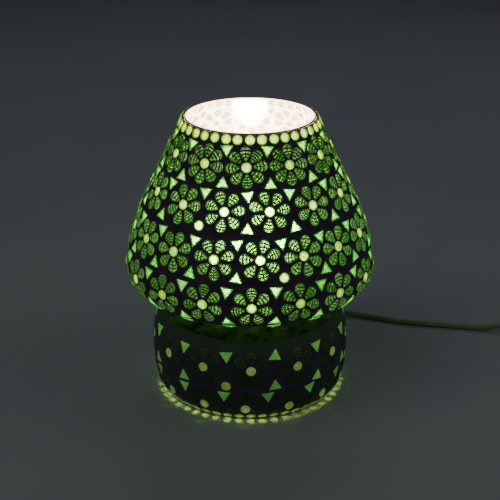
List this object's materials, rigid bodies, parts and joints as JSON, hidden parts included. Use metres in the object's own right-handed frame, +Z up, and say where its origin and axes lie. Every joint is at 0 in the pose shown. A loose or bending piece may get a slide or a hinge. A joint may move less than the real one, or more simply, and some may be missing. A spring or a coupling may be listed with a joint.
{
  "type": "mosaic glass table lamp",
  "caption": "Mushroom-shaped blown glass table lamp covered with a mosaic of green glass flowers, discs and triangles in black grout, with a screw-in bulb and a switched cord.",
  "frame": {"origin": "middle of the foot, on the table", "axes": "+Z up along the lamp's axis, -Y the front, the cord leaves the drum at the back right"},
  "size_m": [0.4795, 0.2212, 0.23],
  "materials": {
    "felt": "matt black felt",
    "bulb_glass": "frosted warm white",
    "bulb_metal": "satin",
    "black_glass": "glossy vitrite",
    "solder": "dull tin",
    "clear_stem": "clear",
    "tungsten": "grey wire",
    "porcelain": "unglazed white",
    "brass": "polished",
    "steel": "zinc plated",
    "black_plastic": "moulded phenolic",
    "rubber": "matt black",
    "cord_sheath": "soft olive PVC",
    "tie_wrap": "black",
    "switch_plastic": "moulded black",
    "rocker_plastic": "polished black",
    "plug_plastic": "moulded black",
    "nickel": "nickel plated",
    "body_glass": "clear, smooth",
    "grout": "matt black",
    "disc_glass": "yellow green, glossy",
    "triangle_glass": "light green, glossy",
    "petal_glass": "green, black outliner drawing"
  },
  "bodies": {
    "lamp": {"base_pad": "felt", "holder_insert": "porcelain", "holder_contact": "brass", "holder_screws": "steel", "holder_shell": "brass", "holder_skirt": "black_plastic", "holder_cap": "black_plastic", "entry_nipple": "steel", "nipple_nut": "steel", "lower_shade_ring": "black_plastic", "upper_shade_ring": "black_plastic", "neck_bracket": "steel", "bracket_tips": "rubber", "cord_guard": "rubber", "inner_lead": "cord_sheath", "lamp_cord": "cord_sheath", "link_cord": "cord_sheath", "plug_cord": "cord_sheath", "cord_coil": "cord_sheath", "switch_lead": "cord_sheath", "cord_tie": "tie_wrap", "switch_base": "switch_plastic", "switch_cover": "switch_plastic", "rocker_pin": "steel", "switch_screws": "steel", "switch_terminals": "brass", "switch_sleeves": "rubber", "plug_body": "plug_plastic", "plug_pins": "nickel", "glass_body": "body_glass", "shade_grout_bed": "grout", "drum_grout_bed": "grout", "rim_discs": "disc_glass", "shade_flower_discs": "disc_glass", "shade_gap_discs": "disc_glass", "drum_flower_discs": "disc_glass", "drum_gap_discs": "disc_glass", "foot_discs": "disc_glass", "shade_triangles": "triangle_glass", "drum_triangles": "triangle_glass", "shade_petals_row1": "petal_glass", "shade_petals_row2": "petal_glass", "shade_petals_row3": "petal_glass", "shade_petals_row4": "petal_glass", "drum_petals_row5": "petal_glass", "drum_petals_row6": "petal_glass"},
    "bulb_tip": {"bulb_contact": "solder"},
    "bulb": {"bulb_envelope": "bulb_glass", "bulb_cap": "bulb_metal", "bulb_insulator": "black_glass", "bulb_stem": "clear_stem", "bulb_filament": "tungsten"},
    "rocker": {"switch_rocker": "rocker_plastic"}
  },
  "joints": [
    {"name": "bulb_rise", "type": "slide", "parent": "lamp", "child": "bulb_tip", "axis": [0, 0, 1], "range_m": [0, 0.01082]},
    {"name": "bulb_turn", "type": "hinge", "parent": "bulb_tip", "child": "bulb", "pos_m": [0, 0, 0.072], "axis": [0, 0, 1], "range_deg": [0, 1080]},
    {"name": "switch_rock", "type": "hinge", "parent": "lamp", "child": "rocker", "pos_m": [0.287, 0.083, 0.013], "axis": [0, -1, 0], "range_deg": [0, 14]}
  ],
  "couplings": [
    {"joint": "bulb_rise", "follows": "bulb_turn", "m_per_rad": 0.00057296}
  ]
}
